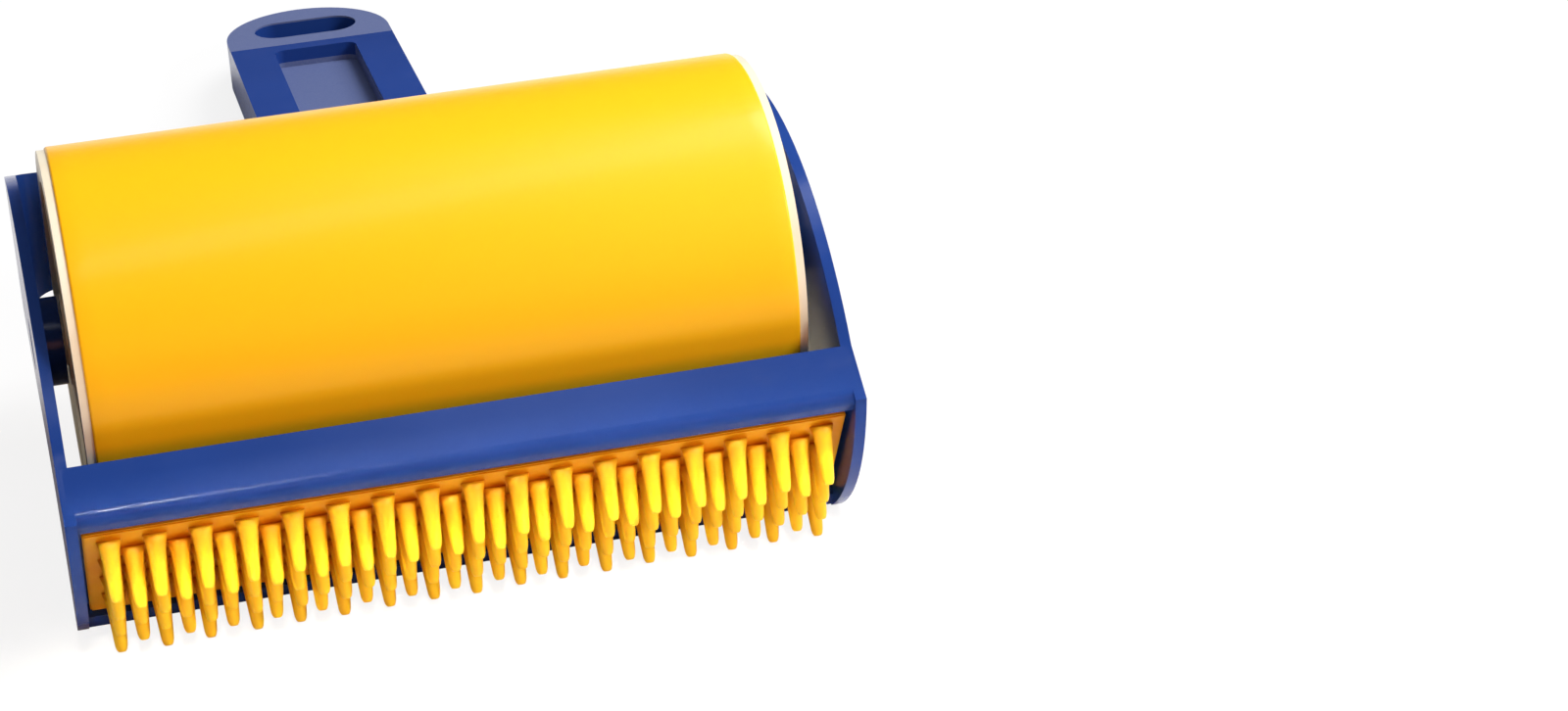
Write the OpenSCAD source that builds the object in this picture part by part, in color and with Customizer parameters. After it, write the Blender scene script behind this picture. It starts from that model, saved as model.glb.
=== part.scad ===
/* [Roller] */
// Outer diameter of the sticky sleeve
roller_d = 75; // [71:0.5:78]
// Length of the sticky sleeve
sleeve_len = 136.6; // [120:0.2:150]
// Thickness of the soft sticky layer
sleeve_t = 2; // [1.2:0.1:3]
// Wall of the core tube under the sleeve
core_wall = 2.2; // [1.6:0.1:3.5]
// Glue line between core and sleeve, per side
glue_gap = 0.02; // [0:0.01:0.1]

/* [End caps] */
// Thickness of the cap's rim beyond the sleeve
rim_t = 1.6; // [1.2:0.1:2.6]
// How far the rim stays below the sleeve's surface
rim_drop = 0.5; // [0.2:0.1:1.2]
// Depth of the spigot inside the core
spigot_len = 9; // [6:0.5:16]
// Wall of the spigot ring
spigot_wall = 2.2; // [1.6:0.1:3]
// Gap between spigot and core, per side
spigot_gap = 0.05; // [0.02:0.01:0.2]
// Thickness of the cap's web
web_t = 2; // [1.4:0.1:3]
// Depth of the web below the rim's face
web_sink = 3.2; // [1:0.1:5]
// Diameter of the cap's hub
hub_d = 18; // [15:0.5:24]
// Number of stiffening ribs on the web
rib_n = 6; // [3:1:10]
// Thickness of each stiffening rib
rib_t = 1.6; // [1:0.1:2.4]
// Diameter of the stub axle
axle_d = 10; // [7:0.5:12]
// Chamfer on the axle's end
axle_chamfer = 0.6; // [0.2:0.1:1.2]
// Radial running clearance of the axle in the arm
axle_gap = 0.06; // [0.03:0.01:0.1]
// How far the axle's end stays inside the arm's outer face
axle_inset = 0.4; // [0:0.1:1]
// How far the stiffening ribs stay below the rim's face
rib_drop = 0.4; // [0.2:0.1:1]

/* [Arms] */
// Thickness of each side arm
arm_t = 2.2; // [1.8:0.1:3]
// Gap between the roller's rim and the arm
arm_gap = 4.1; // [2:0.1:6]
// Free play between the roller's rim and the arm's boss
end_play = 0.5; // [0.3:0.1:1]
// Wall of the boss around the axle hole
boss_wall = 3.6; // [2.4:0.1:5]
// Radius of the arm's arched upper edge
arch_r = 70; // [68:0.5:74]
// Distance of the arch's centre behind the axle
arch_back = 5; // [2:0.5:8]
// Height of the arch's centre below the axle
arch_down = 46.5; // [44:0.5:48]
// Radius of the arm's bowed front edge
bow_r = 48; // [46:1:70]
// How far the arm's bowed edge stands proud of the bar's face
arm_proud = 0.3; // [0.1:0.1:1]
// Radius of the hollow in the arm's lower edge
hollow_r = 40; // [34:1:44]
// Distance of the hollow's centre in front of the axle
hollow_front = 2; // [0:0.5:4]
// Height of the arm's lower edge below the axle
arm_under = 17; // [15:0.5:18]
// Rise of the arm's lower edge towards the bridge
arm_rise = 0.5; // [0:0.1:0.5]

/* [Bar] */
// Distance from the axle to the corner of the bar's top and face
bar_front = 55.9; // [54:0.1:58]
// Distance of the bar's rear edge from the axle
bar_rear = 45.2; // [44:0.2:48]
// Height of the bar's rear edge above the axle
bar_high = 2.2; // [0:0.1:4]
// Drop of the bar's top from rear to front
bar_drop = 5.1; // [4:0.1:6]
// Radius of the bar's round front edge
bar_nose_r = 2.4; // [1.5:0.1:3]
// Thickness of the bar's top wall
bar_t = 2.6; // [2:0.1:4]
// Height of the lip that hangs from the bar's rear edge
rear_lip = 5; // [4.5:0.5:7]

/* [Pad seat] */
// Slope of the pad's face below the horizontal
seat_slope = 66.5; // [64:0.1:69]
// Length of the bar's sloped face
seat_len = 40.4; // [39:0.2:42]
// Height of the lip above the pad, along the slope
lip_h = 4; // [3:0.1:4.6]
// Thickness of the plate behind the pad
plate_t = 3; // [2:0.1:4]
// Height of the lip below the pad, along the slope
foot_lip = 4; // [2:0.1:5]

/* [Finger pad] */
// Thickness of the rubber slab
pad_t = 2.2; // [1.6:0.1:3]
// Depth of the slab's face below the bar's face
pad_sink = 0.6; // [0:0.1:1]
// Gap between the slab and its seat
pad_gap = 0.2; // [0.1:0.05:0.4]
// Fingers in a long row
finger_n = 17; // [9:2:17]
// Number of rows
finger_rows = 7; // [3:2:7]
// Spacing of the fingers along a row
finger_pitch = 8.575; // [7.6:0.005:8.6]
// Distance from the slab's upper edge to the first row
row_start = 6.1; // [3.4:0.1:7]
// Distance from the last row to the slab's lower edge
row_end = 6.6; // [3.4:0.1:8]
// Length of each finger
finger_len = 12; // [8:0.1:14]
// Diameter of a finger at its root
finger_root = 4.4; // [3:0.1:4.6]
// Diameter of a finger near its tip
finger_end = 2.3; // [1.6:0.1:2.8]
// Depth to which each finger runs on into the slab
finger_set = 0.4; // [0.2:0.1:0.6]
// Direction of the fingers from straight down, towards the front
finger_lean = 26; // [24:1:60]

/* [Bridge] */
// Thickness of the rear bridge
bridge_t = 3.5; // [2.6:0.1:4.5]
// Gap between the roller and the bridge
bridge_gap = 6.2; // [4:0.1:9]
// Outer corner radius where an arm meets the bridge
corner_r = 9; // [6:0.5:14]

/* [Handle] */
// Width of the handle
handle_w = 38.2; // [34:0.2:42]
// Thickness of the handle
handle_t = 11.4; // [9:0.1:11.4]
// Slope of the handle below the horizontal
handle_slope = 11.4; // [9:0.1:13]
// Length from the bridge to the centre of the handle's round end
handle_len = 105.6; // [90:0.2:115]
// Height of the handle's top above the axle at the bridge
handle_high = -4.8; // [-6:0.1:-3]
// Width of the hang slot, across the handle
hang_w = 24; // [18:0.5:26]
// Length of the hang slot, along the handle
hang_l = 11.4; // [8:0.2:13]
// Distance of the hang slot's middle behind the round end's centre
hang_shift = 5.2; // [4:0.1:6]
// Width of the rail on each side of the sunk panel
rail_w = 9.6; // [7:0.1:12]
// Depth of the sunk panel
panel_sink = 4.2; // [2:0.1:5]
// Width of the bar between hang slot and sunk panel
crossbar_w = 9.6; // [5:0.1:12]
// Distance of the sunk panel from the bridge
panel_start = 9; // [5:0.5:20]
// Corner radius of the sunk panel
panel_r = 2.4; // [1:0.1:4]

/* [Hidden] */
$fn = 96;

// Roller, outward from the axis
roller_r = roller_d / 2;
core_r = roller_r - sleeve_t - glue_gap;
core_bore_r = core_r - core_wall;
spigot_r = core_bore_r - spigot_gap;
rim_r = roller_r - rim_drop;
rim_x = sleeve_len / 2 + rim_t;

// Arms, along X
arm_in = rim_x + arm_gap;
arm_out = arm_in + arm_t;
boss_x = rim_x + end_play;
bore_r = axle_d / 2 + axle_gap;
boss_r = bore_r + boss_wall;

// Bar and pad seat, as points [y, z] from the axle
bar_front_z = bar_high - bar_drop;
slope_dir = [cos(seat_slope), -sin(seat_slope)];
slope_out = [-sin(seat_slope), -cos(seat_slope)];
face_top = [-bar_front, bar_front_z];
function on_slope(s, out = 0) = face_top + s * slope_dir + out * slope_out;
bar_slope = atan(bar_drop / (bar_front - bar_rear));
nose_run = bar_nose_r * tan(90 - (seat_slope + bar_slope) / 2);
nose_centre = on_slope(nose_run, -bar_nose_r);
foot = on_slope(seat_len);
face_mid = on_slope(seat_len / 2);
bow_depth = sqrt(pow(bow_r, 2) - pow(seat_len / 2, 2));
bow_centre = face_mid + (arm_proud - bow_depth) * slope_out;

// Depth of the seat and of the plate's back, measured into the bar from its face
glue_t = pad_gap / 2;
seat_in = pad_sink + pad_t + glue_t;
plate_in = seat_in + plate_t;
seat_end = seat_len - foot_lip;

// Bridge and plan corners
bridge_in = roller_r + bridge_gap;
bridge_out = bridge_in + bridge_t;
corner_in_r = corner_r - arm_t;

// Handle, along its own slope
handle_dir = [cos(handle_slope), -sin(handle_slope)];
handle_norm = [sin(handle_slope), cos(handle_slope)];
handle_root = [bridge_out, handle_high];
handle_end_r = handle_w / 2;
hang_s = handle_len + hang_shift;
panel_end = hang_s - hang_l / 2 - crossbar_w;
handle_bury = bridge_t * 0.7;

// Finger pad
pad_h = seat_end - lip_h - 2 * pad_gap;
row_pitch = (pad_h - row_start - row_end) / (finger_rows - 1);
row_first = lip_h + pad_gap + row_start;
finger_dir = [-sin(finger_lean), -cos(finger_lean)];
tip_r = finger_end / 2 * 0.55;
tip_h = finger_end / 2 * 0.5;
finger_side = finger_len - tip_h;
finger_taper = (finger_root - finger_end) / 2 / finger_side;
finger_bury = pad_t + finger_root / 2;
finger_front = max(finger_len * sin(finger_lean) + tip_r * cos(finger_lean),
    finger_side * sin(finger_lean) + finger_end / 2 * cos(finger_lean));
finger_down = max(finger_len * cos(finger_lean) + tip_r * sin(finger_lean),
    finger_side * cos(finger_lean) + finger_end / 2 * sin(finger_lean));

// Place of the axle in the part's own frame: the base is the lowest point, Y is centred
handle_tip = handle_root + (handle_len + handle_end_r) * handle_dir;
handle_low = handle_tip - handle_t * handle_norm;
last_root = on_slope(row_first + (finger_rows - 1) * row_pitch, -pad_sink);
low_z = min(handle_low[1], last_root[1] - finger_down, foot[1], -roller_r);
front_y = min(on_slope(row_first, -pad_sink)[0] - finger_front, bow_centre[0] - bow_r);
axle_y = -(front_y + handle_tip[0]) / 2;
axle_z = -low_z;

// Points of an arc about [x, y], from angle a to angle b in n steps
function arc(x, y, r, a, b, n) = [for (k = [0 : n])
    [x + r * cos(a + (b - a) * k / n), y + r * sin(a + (b - a) * k / n)]];

// Puts a model drawn about the axle into the part's frame
module from_axle() {
    translate([0, axle_y, axle_z])
        children();
}

// Turns a profile drawn as [y, z] into a plate from x0 to x1
module across(x0, x1) {
    translate([x0, 0, 0])
        rotate([90, 0, 90])
            linear_extrude(height = x1 - x0)
                children();
}

// A disc from x0 to x1 about the roller's axis
module drum(r, x0, x1) {
    translate([x0, 0, 0])
        rotate([0, 90, 0])
            cylinder(h = x1 - x0, r = r);
}

// Side outline shared by the arms and the bridge
module arm_outline() {
    difference() {
        intersection() {
            union() {
                translate(bow_centre)
                    circle(r = bow_r, $fn = 180);
                translate([bow_centre[0], -2 * arch_r])
                    square([4 * arch_r, 4 * arch_r]);
            }
            union() {
                translate([arch_back, -arch_down])
                    circle(r = arch_r, $fn = 180);
                polygon([
                    [-bar_rear, bar_high],
                    [-bar_front - arm_t, bar_front_z - arm_t * bar_drop / (bar_front - bar_rear)],
                    [-bar_front - arm_t, face_mid[1]],
                    [-bar_rear * 0.6, face_mid[1]],
                    [-bar_rear * 0.6, 0]
                ]);
            }
        }
        translate([-hollow_front, -arm_under - hollow_r])
            circle(r = hollow_r, $fn = 180);
        polygon([
            [-hollow_front, -arm_under],
            [bridge_out, -arm_under + arm_rise],
            [bridge_out + arch_r, -arm_under + arm_rise],
            [bridge_out + arch_r, -2 * arch_r],
            [-hollow_front, -2 * arch_r]
        ]);
        translate([bridge_out, -2 * arch_r])
            square([arch_r, 4 * arch_r]);
        translate([-2 * arch_r, foot[1] - 2 * arch_r])
            square([4 * arch_r, 2 * arch_r]);
    }
}

// Plan walls: both arms and the bridge, with round corners
module plan_walls() {
    difference() {
        plan_block(arm_out, bridge_out, corner_r);
        plan_block(arm_in, bridge_in, corner_in_r);
    }
}

module plan_block(half_x, rear_y, r) {
    polygon(concat(
        [[-half_x, -2 * bar_front], [half_x, -2 * bar_front]],
        arc(half_x - r, rear_y - r, r, 0, 90, 10),
        arc(-half_x + r, rear_y - r, r, 90, 180, 10)
    ));
}

// Section of the front bar, with the seat for the pad
module bar_section() {
    polygon(concat(
        [[-bar_rear, bar_high]],
        arc(nose_centre[0], nose_centre[1], bar_nose_r, 90 + bar_slope, 270 - seat_slope, 8),
        [
            on_slope(lip_h),
            on_slope(lip_h, -seat_in),
            on_slope(lip_h + plate_t, -plate_in),
            [-bar_rear, bar_high - bar_t]
        ]
    ));
    polygon([
        on_slope(lip_h / 2, -seat_in),
        on_slope(seat_end, -seat_in),
        on_slope(seat_end),
        on_slope(seat_len),
        on_slope(seat_len, -plate_in),
        on_slope(lip_h + plate_t, -plate_in)
    ]);
    translate([-bar_rear - bar_t, bar_high - rear_lip])
        square([bar_t, rear_lip - 1]);
}

module front_bar() {
    across(-arm_in - arm_t / 2, arm_in + arm_t / 2)
        bar_section();
}

// Outline of the handle in its own plane, from the bridge outwards
module handle_outline() {
    translate([-handle_w / 2, -handle_bury])
        square([handle_w, handle_len + handle_bury]);
    translate([0, handle_len])
        circle(r = handle_end_r);
}

module panel_outline() {
    panel_w = handle_w - 2 * rail_w;
    translate([-panel_w / 2, panel_start + panel_r])
        square([panel_w, panel_end - panel_start - 2 * panel_r]);
    translate([-panel_w / 2 + panel_r, panel_start])
        square([panel_w - 2 * panel_r, panel_end - panel_start]);
    for (side = [-1, 1], s = [panel_start + panel_r, panel_end - panel_r])
        translate([side * (panel_w / 2 - panel_r), s])
            circle(r = panel_r, $fn = 48);
}

// Outline of the hang slot, a bar with round ends
module hang_outline() {
    flat = hang_w - hang_l;
    translate([-flat / 2, hang_s - hang_l / 2])
        square([flat, hang_l]);
    for (side = [-1, 1])
        translate([side * flat / 2, hang_s])
            circle(d = hang_l);
}

module handle() {
    translate([0, handle_root[0], handle_root[1]])
        rotate([-handle_slope, 0, 0])
            difference() {
                translate([0, 0, -handle_t])
                    linear_extrude(height = handle_t)
                        handle_outline();
                translate([0, 0, -panel_sink])
                    linear_extrude(height = panel_sink + 1)
                        panel_outline();
                translate([0, 0, -handle_t - 1])
                    linear_extrude(height = handle_t + 2)
                        hang_outline();
            }
}

module frame() {
    color([0.12, 0.2, 0.58])
        from_axle()
            difference() {
                union() {
                    intersection() {
                        across(-arm_out - 1, arm_out + 1)
                            arm_outline();
                        translate([0, 0, -arch_r])
                            linear_extrude(height = 2 * arch_r)
                                plan_walls();
                    }
                    front_bar();
                    handle();
                    drum(boss_r, -arm_in - arm_t / 2, -boss_x);
                    drum(boss_r, boss_x, arm_in + arm_t / 2);
                }
                drum(bore_r, -arm_out - 1, -boss_x + 1);
                drum(bore_r, boss_x - 1, arm_out + 1);
            }
}

// One blunt finger, drawn along +Z from the slab's face and on down into the slab
module finger() {
    rotate_extrude($fn = 14)
        polygon([
            [0, -finger_bury],
            [finger_root / 2 + finger_taper * finger_bury, -finger_bury],
            [finger_end / 2, finger_side],
            [tip_r, finger_len],
            [0, finger_len]
        ]);
}

module fingers() {
    for (row = [0 : finger_rows - 1]) {
        count = finger_n - row % 2;
        root = on_slope(row_first + row * row_pitch, -pad_sink);
        for (k = [0 : count - 1])
            translate([(k - (count - 1) / 2) * finger_pitch, root[0], root[1]])
                rotate([180 - finger_lean, 0, 0])
                    finger();
    }
}

// A strip along the pad, between two depths below the bar's face
module pad_strip(half_len, s0, s1, out0, out1) {
    across(-half_len, half_len)
        polygon([on_slope(s0, out0), on_slope(s1, out0), on_slope(s1, out1), on_slope(s0, out1)]);
}

module finger_pad() {
    half_len = arm_in - pad_gap;
    s_top = lip_h + pad_gap;
    color([0.98, 0.68, 0.08])
        from_axle() {
            pad_strip(half_len, s_top, s_top + pad_h, -pad_sink, -pad_sink - pad_t);
            intersection() {
                fingers();
                pad_strip(arm_in, -finger_len, seat_len + finger_len, 2 * finger_len, -pad_sink - finger_set);
            }
        }
}

module roller_core() {
    color([0.93, 0.91, 0.86])
        from_axle()
            difference() {
                drum(core_r, -sleeve_len / 2, sleeve_len / 2);
                drum(core_bore_r, -sleeve_len / 2 - 1, sleeve_len / 2 + 1);
            }
}

module sticky_sleeve() {
    color([1, 0.8, 0.08])
        from_axle()
            difference() {
                drum(roller_r, -sleeve_len / 2, sleeve_len / 2);
                drum(roller_r - sleeve_t, -sleeve_len / 2 - 1, sleeve_len / 2 + 1);
            }
}

// Cap for the +X end: rim, spigot, sunk web with ribs, hub and stub axle
module end_cap() {
    spigot_x = sleeve_len / 2 - spigot_len;
    web_x = rim_x - web_sink;
    difference() {
        union() {
            drum(rim_r, sleeve_len / 2, rim_x);
            drum(spigot_r, spigot_x, rim_x - rim_t / 2);
        }
        drum(spigot_r - spigot_wall, web_x, rim_x + 1);
        drum(spigot_r - spigot_wall, spigot_x - 1, web_x - web_t);
    }
    drum(hub_d / 2, spigot_x, rim_x);
    for (k = [0 : rib_n - 1])
        rotate([k * 360 / rib_n, 0, 0])
            translate([web_x - web_t / 2, -rib_t / 2, hub_d / 2 - 1])
                cube([web_sink - rib_drop + web_t / 2, rib_t, spigot_r - spigot_wall - hub_d / 2 + 1.5]);
    drum(axle_d / 2, rim_x - 1, arm_out - axle_inset - axle_chamfer);
    translate([arm_out - axle_inset - axle_chamfer, 0, 0])
        rotate([0, 90, 0])
            cylinder(h = axle_chamfer, r1 = axle_d / 2, r2 = axle_d / 2 - axle_chamfer);
}

module end_cap_right() {
    color([0.94, 0.93, 0.9])
        from_axle()
            end_cap();
}

module end_cap_left() {
    color([0.94, 0.93, 0.9])
        from_axle()
            mirror([1, 0, 0])
                end_cap();
}

frame();
finger_pad();
roller_core();
sticky_sleeve();
end_cap_left();
end_cap_right();
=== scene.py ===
import bpy
import bmesh
from math import cos, pi, radians, sin
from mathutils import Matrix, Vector


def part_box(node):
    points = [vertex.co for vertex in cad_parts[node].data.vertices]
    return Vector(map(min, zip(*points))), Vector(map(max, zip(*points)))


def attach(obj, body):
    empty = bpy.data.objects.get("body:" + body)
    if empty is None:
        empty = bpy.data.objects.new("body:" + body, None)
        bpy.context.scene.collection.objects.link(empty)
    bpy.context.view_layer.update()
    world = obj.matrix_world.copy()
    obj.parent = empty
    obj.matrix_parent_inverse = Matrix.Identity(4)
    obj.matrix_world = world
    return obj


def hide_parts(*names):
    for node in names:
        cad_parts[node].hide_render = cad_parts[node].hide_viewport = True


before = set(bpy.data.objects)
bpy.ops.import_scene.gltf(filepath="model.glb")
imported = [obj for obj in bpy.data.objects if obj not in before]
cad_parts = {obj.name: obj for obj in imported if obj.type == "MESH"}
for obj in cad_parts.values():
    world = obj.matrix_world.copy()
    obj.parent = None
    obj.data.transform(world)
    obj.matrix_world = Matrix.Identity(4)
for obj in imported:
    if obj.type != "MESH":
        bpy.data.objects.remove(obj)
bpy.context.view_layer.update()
print("frame loaded:", ", ".join(sorted(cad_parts)))


# Node trees: a socket that can be summed, and one method for every other node

class Wire:
    def __init__(self, shop, socket):
        self.shop = shop
        self.socket = socket

    def __add__(self, other):
        return self.shop.math("ADD", self, other)

    def __radd__(self, other):
        return self.shop.math("ADD", other, self)

    def __sub__(self, other):
        return self.shop.math("SUBTRACT", self, other)

    def __rsub__(self, other):
        return self.shop.math("SUBTRACT", other, self)

    def __mul__(self, other):
        return self.shop.math("MULTIPLY", self, other)

    def __rmul__(self, other):
        return self.shop.math("MULTIPLY", other, self)

    def __truediv__(self, other):
        return self.shop.math("DIVIDE", self, other)

    def __rtruediv__(self, other):
        return self.shop.math("DIVIDE", other, self)

    def __mod__(self, other):
        return self.shop.math("MODULO", self, other)

    def __rmod__(self, other):
        return self.shop.math("MODULO", other, self)

    def __pow__(self, other):
        return self.shop.math("POWER", self, other)

    def __rpow__(self, other):
        return self.shop.math("POWER", other, self)

    def __gt__(self, other):
        return self.shop.math("GREATER_THAN", self, other)

    def __lt__(self, other):
        return self.shop.math("LESS_THAN", self, other)


class Shop:
    def __init__(self, tree):
        self.tree = tree

    def node(self, kind, settings=None, inputs=None, out=0):
        made = self.tree.nodes.new(kind)
        for name, value in (settings or {}).items():
            setattr(made, name, value)
        for key, value in (inputs or {}).items():
            if isinstance(value, Wire):
                self.tree.links.new(value.socket, made.inputs[key])
            elif isinstance(value, list):
                for wire in value:
                    self.tree.links.new(wire.socket, made.inputs[key])
            else:
                made.inputs[key].default_value = value
        return Wire(self, made.outputs[out]) if len(made.outputs) else None

    def math(self, operation, *values):
        return self.node("ShaderNodeMath", {"operation": operation}, dict(enumerate(values)))

    def axes(self, vector):
        first = self.node("ShaderNodeSeparateXYZ", {}, {0: vector})
        return [Wire(self, socket) for socket in first.socket.node.outputs]

    def mixColour(self, factor, first, second):
        # inputs 6 and 7 and output 2 are the node's colour sockets
        return self.node("ShaderNodeMix", {"data_type": "RGBA"}, {0: factor, 6: first, 7: second}, 2)


def newMaterial(name):
    material = bpy.data.materials.new(name)
    material.use_nodes = True
    material.node_tree.nodes.clear()
    return material, Shop(material.node_tree)


def objectPlace(shop):
    return shop.node("ShaderNodeTexCoord", {}, {}, "Object")


def speckle(shop, place, scale, detail=2.0, low=0.3, high=0.7):
    noise = shop.node("ShaderNodeTexNoise", {}, {"Vector": place, "Scale": scale, "Detail": detail})
    return shop.node("ShaderNodeMapRange", {}, {"Value": noise, "From Min": low, "From Max": high})


def bumps(shop, place, scale, depth, strength=0.6, detail=2.0, under=None):
    noise = shop.node("ShaderNodeTexNoise", {}, {"Vector": place, "Scale": scale, "Detail": detail})
    inputs = {"Strength": strength, "Distance": depth, "Height": noise}
    if under is not None:
        inputs["Normal"] = under
    return shop.node("ShaderNodeBump", {}, inputs)


def plasticSurface(shop, inputs, settings=None):
    surface = shop.node("ShaderNodeBsdfPrincipled", settings, inputs)
    shop.node("ShaderNodeOutputMaterial", {}, {"Surface": surface})


# The middle of the roller's axle, and the line of the pad's seat in metres from it

axle = (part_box("sticky_sleeve")[0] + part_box("sticky_sleeve")[1]) / 2
padSeat = {"slope": radians(66.5), "topY": -0.0559, "topZ": -0.0029,  # falls from the bar's front edge
           "sink": 0.0010, "firstRow": 0.0098}  # depth of the slab's face, place of its first row


# Materials, one dictionary of settings each

def handleFrostAndSheenZone(shop, x, y, z):
    # the sunk panel's floor and side walls, and the ring's top face, by the line of the handle's top: a
    # matte frosted finish there, and a paler colour that is painted sheen, a painted reflection on the
    # floor and ring and a painted highlight on the walls
    line = {"slope": radians(11.4), "rootY": 0.0472, "rootZ": -0.0048}
    zone = {"panelStart": 0.0092, "panelEnd": 0.0975, "ringStart": 0.0995, "top": -0.0004,
            "floor": -0.0030, "below": -0.0048, "floorHalf": 0.0093, "wallHalf": 0.0098}
    back = y - (axle.y + line["rootY"])
    up = z - (axle.z + line["rootZ"])
    along = back * cos(line["slope"]) - up * sin(line["slope"])
    above = back * sin(line["slope"]) + up * cos(line["slope"])
    aside = shop.math("ABSOLUTE", x)
    sunk = (along < zone["panelEnd"]) * (above > zone["below"])
    floor = sunk * (above < zone["floor"]) * (aside < zone["floorHalf"]) * (along > zone["panelStart"])
    wall = sunk * (above < zone["top"]) * (aside > zone["floorHalf"]) * (aside < zone["wallHalf"])
    ring = (along > zone["ringStart"]) * (above > zone["top"])
    return floor + wall + ring


def bluePlastic():
    look = {"deep": (0.010, 0.037, 0.195, 1), "pale": (0.014, 0.047, 0.235, 1), "cloudScale": 22.0,
            "rough": 0.17, "scuff": 0.07, "scuffScale": 260.0, "grainScale": 1500.0, "grain": 0.00002,
            "sinkScale": 45.0, "sink": 0.00010,
            "paintedSheenColour": (0.130, 0.160, 0.300, 1), "paintedSheenShare": 0.85, "frostRough": 0.30,
            "frostScale": 2400.0, "frostGrain": 0.2}
    material, shop = newMaterial("bluePlastic")
    place = objectPlace(shop)
    # painted sheen: the handle's panel, walls and ring are painted paler in place of reflected and
    # falling light; their added roughness is a real matte finish
    frostAndSheenZone = handleFrostAndSheenZone(shop, *shop.axes(place)) * look["paintedSheenShare"]
    frostGrain = speckle(shop, place, look["frostScale"], detail=1.0, low=0.25, high=0.75)
    paintedSheenShare = frostAndSheenZone * (1.0 - look["frostGrain"] + frostGrain * look["frostGrain"])
    cloud = speckle(shop, place, look["cloudScale"])
    scuff = speckle(shop, place, look["scuffScale"], detail=4.0, low=0.52, high=0.75)
    plain = shop.mixColour(cloud, look["deep"], look["pale"])
    wave = bumps(shop, place, look["sinkScale"], look["sink"], strength=0.5, detail=1.0)
    plasticSurface(shop, {
        "Base Color": shop.mixColour(paintedSheenShare, plain, look["paintedSheenColour"]),
        "Roughness": look["rough"] + scuff * look["scuff"] + frostAndSheenZone * look["frostRough"],
        "IOR": 1.46, "Specular IOR Level": 0.12,
        "Normal": bumps(shop, place, look["grainScale"], look["grain"], under=wave)})
    return material


def stickyYellow():
    look = {"deep": (0.95, 0.47, 0.004, 1), "bright": (0.99, 0.56, 0.008, 1), "cloudScale": 9.0,
            "rough": 0.30, "haze": 0.16, "hazeScale": 14.0, "rippleScale": 16.0, "ripple": 0.0012,
            "dustScale": 900.0, "dust": 0.00003, "stretch": (0.35, 1.0, 1.0)}
    material, shop = newMaterial("stickyYellow")
    place = objectPlace(shop)
    stretched = shop.node("ShaderNodeMapping", {}, {"Vector": place, "Scale": look["stretch"]})
    cloud = speckle(shop, stretched, look["cloudScale"])
    haze = speckle(shop, stretched, look["hazeScale"], detail=3.0)
    ripple = bumps(shop, stretched, look["rippleScale"], look["ripple"], strength=0.5, detail=1.0)
    plasticSurface(shop, {
        "Base Color": shop.mixColour(cloud, look["deep"], look["bright"]),
        "Roughness": look["rough"] + haze * look["haze"], "IOR": 1.45, "Specular IOR Level": 0.2,
        "Subsurface Weight": 0.15, "Subsurface Radius": (0.0012, 0.0005, 0.0001), "Subsurface Scale": 1.0,
        "Coat Weight": 0.12, "Coat Roughness": 0.16,
        "Normal": bumps(shop, place, look["dustScale"], look["dust"], strength=0.5, under=ripple)})
    return material


def fingerRubber():
    look = {"deep": (0.74, 0.29, 0.004, 1), "bright": (1.0, 0.66, 0.020, 1),
            "shadeStart": -0.001, "shadeEnd": 0.0060,  # painted shade: deep at the seat, bright this far out of it
            "cloudScale": 130.0, "cloudShare": 0.3, "rough": 0.34, "mat": 0.18, "matScale": 1300.0 / 3,
            "grainScale": 1300.0, "grain": 0.00003}
    material, shop = newMaterial("fingerRubber")
    place = objectPlace(shop)
    x, y, z = shop.axes(place)
    slope = padSeat["slope"]
    back = y - (axle.y + padSeat["topY"])
    down = (axle.z + padSeat["topZ"]) - z
    out = down * cos(slope) - back * sin(slope)
    # painted shade: the rubber is painted darker towards the seat, where the fingers shade the gaps and
    # each other
    paintedSeatShade = shop.node("ShaderNodeMapRange", {}, {"Value": out, "From Min": look["shadeStart"],
                                                 "From Max": look["shadeEnd"]})
    cloud = speckle(shop, place, look["cloudScale"], detail=3.0)
    share = paintedSeatShade * (1.0 - look["cloudShare"]) + cloud * look["cloudShare"]
    mat = speckle(shop, place, look["matScale"])
    plasticSurface(shop, {
        "Base Color": shop.mixColour(share, look["deep"], look["bright"]),
        "Roughness": look["rough"] + mat * look["mat"], "IOR": 1.45, "Specular IOR Level": 0.3,
        "Subsurface Weight": 0.25, "Subsurface Radius": (0.0010, 0.0005, 0.0001), "Subsurface Scale": 1.0,
        "Normal": bumps(shop, place, look["grainScale"], look["grain"])},
        {"subsurface_method": "RANDOM_WALK"})
    return material


def mattePlastic(name, deep, pale):
    look = {"cloudScale": 60.0, "rough": 0.38, "mat": 0.16, "matScale": 240.0,
            "grainScale": 1100.0, "grain": 0.00002}
    material, shop = newMaterial(name)
    place = objectPlace(shop)
    cloud = speckle(shop, place, look["cloudScale"])
    mat = speckle(shop, place, look["matScale"])
    plasticSurface(shop, {
        "Base Color": shop.mixColour(cloud, deep, pale),
        "Roughness": look["rough"] + mat * look["mat"], "IOR": 1.5,
        "Normal": bumps(shop, place, look["grainScale"], look["grain"])})
    return material


blue = bluePlastic()
yellow = stickyYellow()
rubber = fingerRubber()
creamCap = mattePlastic("creamCap", (0.76, 0.68, 0.52, 1), (0.86, 0.80, 0.66, 1))
whiteCore = mattePlastic("whiteCore", (0.74, 0.72, 0.66, 1), (0.84, 0.82, 0.77, 1))
print("materials made")


# Meshes

def newPiece(name, mesh, material, body):
    mesh.name = name
    mesh.materials.clear()
    mesh.materials.append(material)
    piece = bpy.data.objects.new(name, mesh)
    bpy.context.scene.collection.objects.link(piece)
    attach(piece, body)
    return piece


def newMesh(work, name):
    mesh = bpy.data.meshes.new(name)
    work.to_mesh(mesh)
    work.free()
    return mesh


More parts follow.
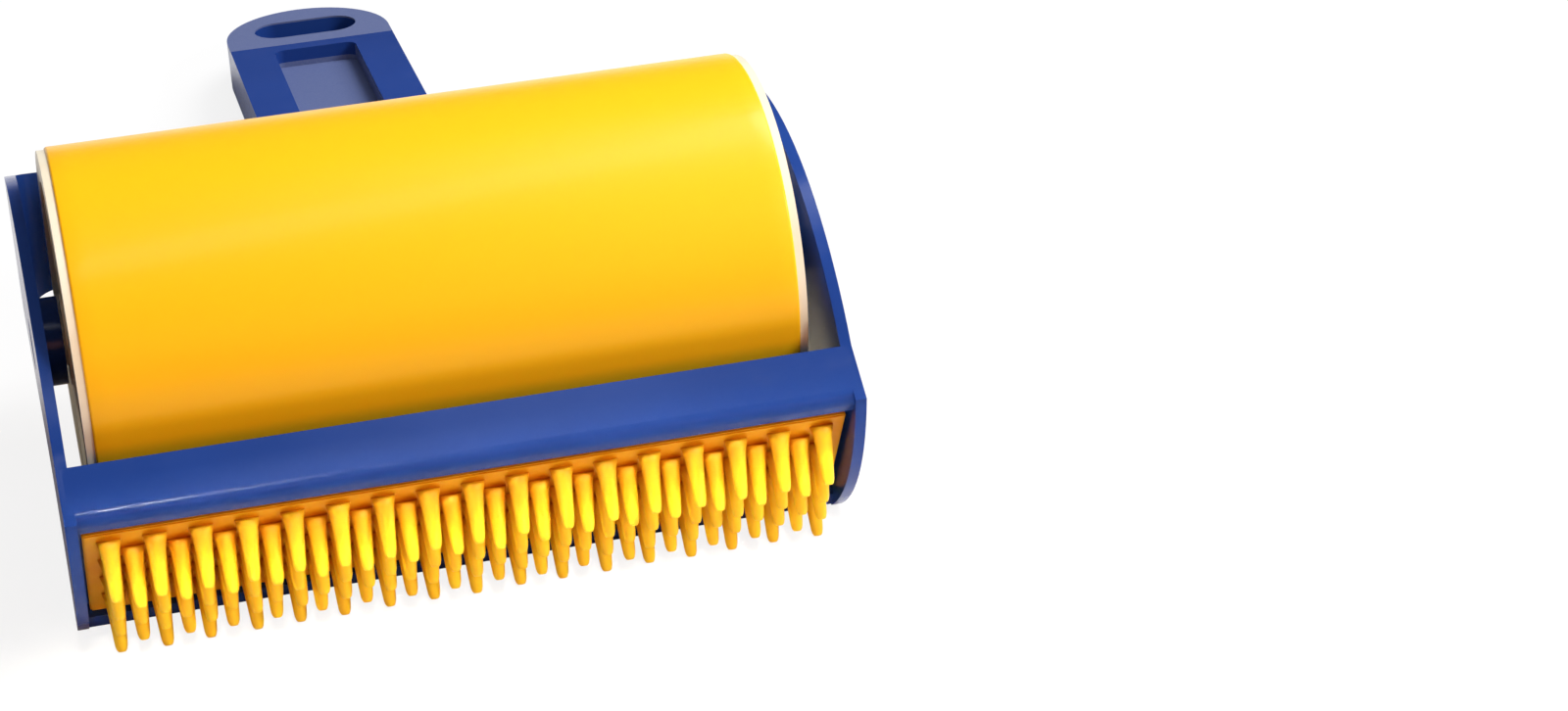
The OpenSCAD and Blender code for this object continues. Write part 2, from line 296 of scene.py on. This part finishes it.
def frozenMesh(piece):
    mesh = bpy.data.meshes.new_from_object(piece.evaluated_get(bpy.context.evaluated_depsgraph_get()))
    bpy.data.objects.remove(piece)
    return mesh


def smoothMesh(mesh, angle):
    mesh.shade_smooth()
    mesh.set_sharp_from_angle(angle=angle)


# The frame and the caps: merged copies of their nodes with softened edges

edgeWidth = {"frame": 0.00035, "end_cap_left": 0.00025, "end_cap_right": 0.00025}


def flattenBarTop(work):
    # the rear lip's strip stands a little proud of the bar's sloped top
    bar = {"rearY": -0.0452, "rearZ": 0.0022, "frontY": -0.0559, "frontZ": -0.0029,
           "reach": 0.4, "step": 0.0004}
    for v in work.verts:
        share = (v.co.y - axle.y - bar["rearY"]) / (bar["frontY"] - bar["rearY"])
        level = axle.z + bar["rearZ"] + share * (bar["frontZ"] - bar["rearZ"])
        if 0 < share < bar["reach"] and 0 < v.co.z - level < bar["step"]:
            v.co.z = level


def softenedCopy(node, name, material, body):
    finish = {"merge": 2e-6, "flat": radians(1), "bent": radians(34), "smooth": radians(40),
              "segments": 2, "faceWeight": 100}
    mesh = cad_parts[node].data.copy()
    work = bmesh.new()
    work.from_mesh(mesh)
    bmesh.ops.remove_doubles(work, verts=work.verts, dist=finish["merge"])
    if node == "frame":
        flattenBarTop(work)
    bmesh.ops.dissolve_limit(work, angle_limit=finish["flat"], verts=work.verts, edges=work.edges)
    work.to_mesh(mesh)
    work.free()
    smoothMesh(mesh, finish["smooth"])
    helper = bpy.data.objects.new(name + "Work", mesh)
    bpy.context.scene.collection.objects.link(helper)
    soften = helper.modifiers.new("soften", "BEVEL")
    soften.width = edgeWidth[node]
    soften.segments = finish["segments"]
    soften.limit_method = "ANGLE"
    soften.angle_limit = finish["bent"]
    even = helper.modifiers.new("even", "WEIGHTED_NORMAL")
    even.weight = finish["faceWeight"]
    even.keep_sharp = True
    bpy.context.view_layer.update()
    piece = newPiece(name, frozenMesh(helper), material, body)
    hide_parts(node)


softenedCopy("frame", "frameMoulding", blue, "frame")
softenedCopy("end_cap_left", "endCapLeft", creamCap, "roller")
softenedCopy("end_cap_right", "endCapRight", creamCap, "roller")
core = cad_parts["roller_core"]
core.data.materials.clear()
core.data.materials.append(whiteCore)
print("frame, caps and core dressed")


def stickySleeve():
    size = {"radius": 0.0375, "wall": 0.002, "halfLength": 0.0683, "edge": 0.0005, "edgeSteps": 4,
            "around": 256, "along": 40, "smooth": radians(50)}
    outer, half, edge = size["radius"], size["halfLength"], size["edge"]
    inner = outer - size["wall"]
    turns = [pi / 2 * k / size["edgeSteps"] for k in range(size["edgeSteps"] + 1)]
    side = [(half - edge + edge * sin(a), outer - edge + edge * cos(a)) for a in turns]
    span = [(half - edge) * (2 * k / size["along"] - 1) for k in range(1, size["along"])]
    profile = [(-x, r) for x, r in reversed(side)] + [(x, outer) for x in span] + side
    profile += [(half, inner), (-half, inner)]
    angles = [2 * pi * k / size["around"] for k in range(size["around"])]
    work = bmesh.new()
    rings = [[work.verts.new((x, axle.y + r * cos(a), axle.z + r * sin(a))) for a in angles]
             for x, r in profile]
    for first, second in zip(rings, rings[1:] + rings[:1]):
        for k in range(size["around"]):
            n = (k + 1) % size["around"]
            work.faces.new((first[k], first[n], second[n], second[k]))
    bmesh.ops.recalc_face_normals(work, faces=work.faces)
    mesh = newMesh(work, "sleeveWork")
    smoothMesh(mesh, size["smooth"])
    piece = newPiece("stickySleeve", mesh, yellow, "roller")
    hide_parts("sticky_sleeve")


stickySleeve()
print("sleeve made")


# The finger pad: a slab, and rows of fingers set on it by Geometry Nodes

padSize = {"Fingers in a long row": 17, "Rows": 7, "Finger pitch": 0.008575, "Row pitch": 0.0033,
           "Finger length": 0.012, "Root radius": 0.00195, "End radius": 0.00115, "Root fillet": 0.0004,
           "Lean": radians(26), "Tilt change": radians(1.6), "Length change": 0.03, "Seed": 4}
fingerForm = {"sides": 14, "steps": 9, "stepGrowth": 1.6,  # steps grow shorter towards the tip
              "filletFade": 9.0, "tipNarrow": 0.34, "tipFade": 26.0}


def onSlope(s, out=0.0):
    # a point s down the seat and out of it by out
    slope = padSeat["slope"]
    return Vector((0, axle.y + padSeat["topY"] + s * cos(slope) - out * sin(slope),
                   axle.z + padSeat["topZ"] - s * sin(slope) - out * cos(slope)))


def slabMesh():
    slab = {"start": 0.0072, "height": 0.0288, "thick": 0.0018, "halfLength": 0.0733,
            "edge": 0.0003, "edgeSteps": 2, "smooth": radians(40)}
    top, foot = slab["start"], slab["start"] + slab["height"]
    face, back = -padSeat["sink"], -padSeat["sink"] - slab["thick"]
    corners = [onSlope(s, out) for s, out in ((top, face), (foot, face), (foot, back), (top, back))]
    work = bmesh.new()
    ends = [[work.verts.new(c + Vector((x, 0, 0))) for c in corners]
            for x in (-slab["halfLength"], slab["halfLength"])]
    work.faces.new(ends[0])
    work.faces.new(ends[1][::-1])
    for k in range(4):
        n = (k + 1) % 4
        work.faces.new((ends[0][k], ends[1][k], ends[1][n], ends[0][n]))
    bmesh.ops.recalc_face_normals(work, faces=work.faces)
    bmesh.ops.bevel(work, geom=work.edges[:], offset=slab["edge"], segments=slab["edgeSteps"],
                    affect="EDGES")
    mesh = newMesh(work, "slabWork")
    smoothMesh(mesh, slab["smooth"])
    return mesh


def fingerTree():
    tree = bpy.data.node_groups.new("fingerRows", "GeometryNodeTree")
    face = tree.interface
    face.new_socket("Geometry", in_out="INPUT", socket_type="NodeSocketGeometry")
    for name, value in padSize.items():
        kind = "NodeSocketInt" if isinstance(value, int) else "NodeSocketFloat"
        face.new_socket(name, in_out="INPUT", socket_type=kind).default_value = value
    face.new_socket("Material", in_out="INPUT", socket_type="NodeSocketMaterial")
    face.new_socket("Geometry", in_out="OUTPUT", socket_type="NodeSocketGeometry")
    shop = Shop(tree)
    given = shop.node("NodeGroupInput").socket.node.outputs

    def named(name):
        return Wire(shop, given[name])

    # places of the fingers: long rows and short rows by turns
    count = named("Fingers in a long row")
    index = shop.node("GeometryNodeInputIndex")
    row = shop.math("FLOOR", index / count)
    column = index - row * count
    shortRow = row % 2.0
    x = (column - (count - 1.0 - shortRow) / 2.0) * named("Finger pitch")
    s = padSeat["firstRow"] + row * named("Row pitch")
    first, step = onSlope(0, -padSeat["sink"]), onSlope(1.0) - onSlope(0)
    spot = shop.node("ShaderNodeCombineXYZ", {}, {0: x, 1: first.y + s * step.y, 2: first.z + s * step.z})
    line = shop.node("GeometryNodeMeshLine", {}, {"Count": count * named("Rows")})
    placed = shop.node("GeometryNodeSetPosition", {}, {"Geometry": line, "Position": spot})
    extra = shortRow * (column > count - 1.5)  # a short row's last place stays empty
    kept = shop.node("GeometryNodeDeleteGeometry", {"domain": "POINT"},
                     {"Geometry": placed, "Selection": extra})

    # one finger: a tapering post with a fillet at its root and a blunt round tip
    rod = shop.node("GeometryNodeMeshCylinder", {"fill_type": "TRIANGLE_FAN"},
                    {"Vertices": fingerForm["sides"], "Side Segments": fingerForm["steps"],
                     "Radius": 1.0, "Depth": 1.0})
    rodX, rodY, rodZ = shop.axes(shop.node("GeometryNodeInputPosition"))
    along = 1.0 - (1.0 - (rodZ + 0.5)) ** fingerForm["stepGrowth"]
    taper = named("Root radius") + (named("End radius") - named("Root radius")) * along
    fillet = named("Root fillet") * (1.0 - along) ** fingerForm["filletFade"]
    radius = (taper + fillet) * (1.0 - fingerForm["tipNarrow"] * along ** fingerForm["tipFade"])
    shaped = shop.node("ShaderNodeCombineXYZ", {}, {0: rodX * radius, 1: rodY * radius,
                                                    2: along * named("Finger length")})
    finger = shop.node("GeometryNodeSetPosition", {}, {"Geometry": rod, "Position": shaped})
    smooth = shop.node("GeometryNodeSetShadeSmooth", {}, {"Geometry": finger})

    def drift(offset, low, high):
        # inputs 2 and 3 and output 1 are the node's sockets for plain numbers
        return shop.node("FunctionNodeRandomValue", {"data_type": "FLOAT"},
                         {2: low, 3: high, "Seed": named("Seed") + offset}, 1)

    tilt = named("Tilt change")
    turn = shop.node("ShaderNodeCombineXYZ", {}, {0: pi - named("Lean") + drift(0.0, 0.0 - tilt, tilt),
                                                  1: drift(1.0, 0.0 - tilt, tilt), 2: 0.0})
    shorter = drift(3.0, 0.0, named("Length change"))
    size = shop.node("ShaderNodeCombineXYZ", {}, {0: 1.0, 1: 1.0, 2: 1.0 - shorter})
    standing = shop.node("GeometryNodeInstanceOnPoints", {}, {"Points": kept, "Instance": smooth,
                                                              "Rotation": turn, "Scale": size})
    joined = shop.node("GeometryNodeJoinGeometry", {}, {0: [named("Geometry"), standing]})
    real = shop.node("GeometryNodeRealizeInstances", {}, {"Geometry": joined})
    coated = shop.node("GeometryNodeSetMaterial", {}, {"Geometry": real, "Material": named("Material")})
    shop.node("NodeGroupOutput", {}, {0: coated})
    return tree


def fingerPad():
    helper = bpy.data.objects.new("padWork", slabMesh())
    bpy.context.scene.collection.objects.link(helper)
    rows = helper.modifiers.new("rows", "NODES")
    rows.node_group = fingerTree()
    values = dict(padSize, Material=rubber)
    for item in rows.node_group.interface.items_tree:
        if item.in_out == "INPUT" and item.name in values:
            rows[item.identifier] = values[item.name]
    bpy.context.view_layer.update()
    piece = newPiece("fingerPad", frozenMesh(helper), rubber, "frame")
    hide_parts("finger_pad")


fingerPad()
print("finger pad made")


# Stage: floor, sky, lamps and camera

def floorMaterial():
    look = {"paper": (0.90, 0.90, 0.90, 1), "glow": (1, 1, 1, 1), "glowShare": 0.85}
    material, shop = newMaterial("paperFloor")
    seen = shop.node("ShaderNodeLightPath", {}, {}, "Is Camera Ray")
    paper = shop.node("ShaderNodeBsdfDiffuse", {}, {"Color": look["paper"]})
    glow = shop.node("ShaderNodeEmission", {}, {"Color": look["glow"], "Strength": 1.0})
    surface = shop.node("ShaderNodeMixShader", {}, {0: seen * look["glowShare"], 1: paper, 2: glow})
    shop.node("ShaderNodeOutputMaterial", {}, {"Surface": surface})
    return material


def paperFloor():
    size = 4.0
    mesh = bpy.data.meshes.new("floor")
    mesh.from_pydata([(-size, -size, 0), (size, -size, 0), (size, size, 0), (-size, size, 0)], [],
                     [(0, 1, 2, 3)])
    mesh.materials.append(floorMaterial())
    piece = bpy.data.objects.new("floor", mesh)
    bpy.context.scene.collection.objects.link(piece)


def skyLight():
    level = {"light": 0.24, "seen": 1.0, "mirrored": 0.08}
    world = bpy.data.worlds.new("studio")
    bpy.context.scene.world = world
    world.use_nodes = True
    world.node_tree.nodes.clear()
    shop = Shop(world.node_tree)
    seen = shop.node("ShaderNodeLightPath", {}, {}, "Is Camera Ray")
    mirrored = shop.node("ShaderNodeLightPath", {}, {}, "Is Glossy Ray")
    strength = (level["light"] + seen * (level["seen"] - level["light"])
                - mirrored * (level["light"] - level["mirrored"]))
    sky = shop.node("ShaderNodeBackground", {}, {"Color": (1, 1, 1, 1), "Strength": strength})
    shop.node("ShaderNodeOutputWorld", {}, {"Surface": sky})


def softBoxes():
    boxes = {
        "keyBox": {"place": (0.62, 0.20, 0.98), "aim": (0, -0.04, 0.03), "size": (0.55, 0.55),
                   "power": 13.0, "colour": (1.0, 1.0, 1.0)},
        "bandBox": {"place": (0.12, -0.13, 1.10), "aim": (0, -0.05, 0.03), "size": (0.9, 0.15),
                    "power": 1.5, "colour": (1.0, 1.0, 1.0)},
        "fingerBox": {"place": (0.80, -0.66, 0.75), "aim": (0, -0.08, 0.02), "size": (0.26, 0.26),
                      "power": 7.4, "colour": (1.0, 1.0, 0.94)},
        "frontBox": {"place": (0.05, -0.95, 0.44), "aim": (0, -0.08, 0.02), "size": (0.8, 0.3),
                     "power": 2.4, "colour": (1.0, 0.34, 0.05)},
        "stripBox": {"place": (0, -0.27, 0.45), "aim": (0, -0.1275, 0.010), "size": (0.17, 0.015),
                     "power": 0.100, "colour": (1.0, 0.94, 0.82), "spread": 7},  # only on the fingers
    }
    for name, box in boxes.items():
        light = bpy.data.lights.new(name, "AREA")
        light.shape = "RECTANGLE"
        light.size, light.size_y = box["size"]
        light.energy = box["power"]
        light.color = box["colour"]
        light.spread = radians(box.get("spread", 180))
        lamp = bpy.data.objects.new(name, light)
        bpy.context.scene.collection.objects.link(lamp)
        lamp.location = box["place"]
        view = Vector(box["aim"]) - Vector(box["place"])
        lamp.rotation_euler = view.to_track_quat("-Z", "Y").to_euler()


def studioCamera():
    view = {"fromAxle": (-0.08642, -0.58951, 0.39737), "pitch": 54.997, "yaw": -15.326, "lens": 82.316}
    camera = bpy.data.objects.new("camera", bpy.data.cameras.new("camera"))
    bpy.context.scene.collection.objects.link(camera)
    camera.location = axle + Vector(view["fromAxle"])
    camera.rotation_euler = (radians(view["pitch"]), 0, radians(view["yaw"]))
    camera.data.lens = view["lens"]
    camera.data.sensor_width = 36
    camera.data.clip_start = 0.01
    bpy.context.scene.camera = camera


paperFloor()
skyLight()
softBoxes()
studioCamera()
bpy.context.scene.view_settings.view_transform = "Standard"
print("stage set")
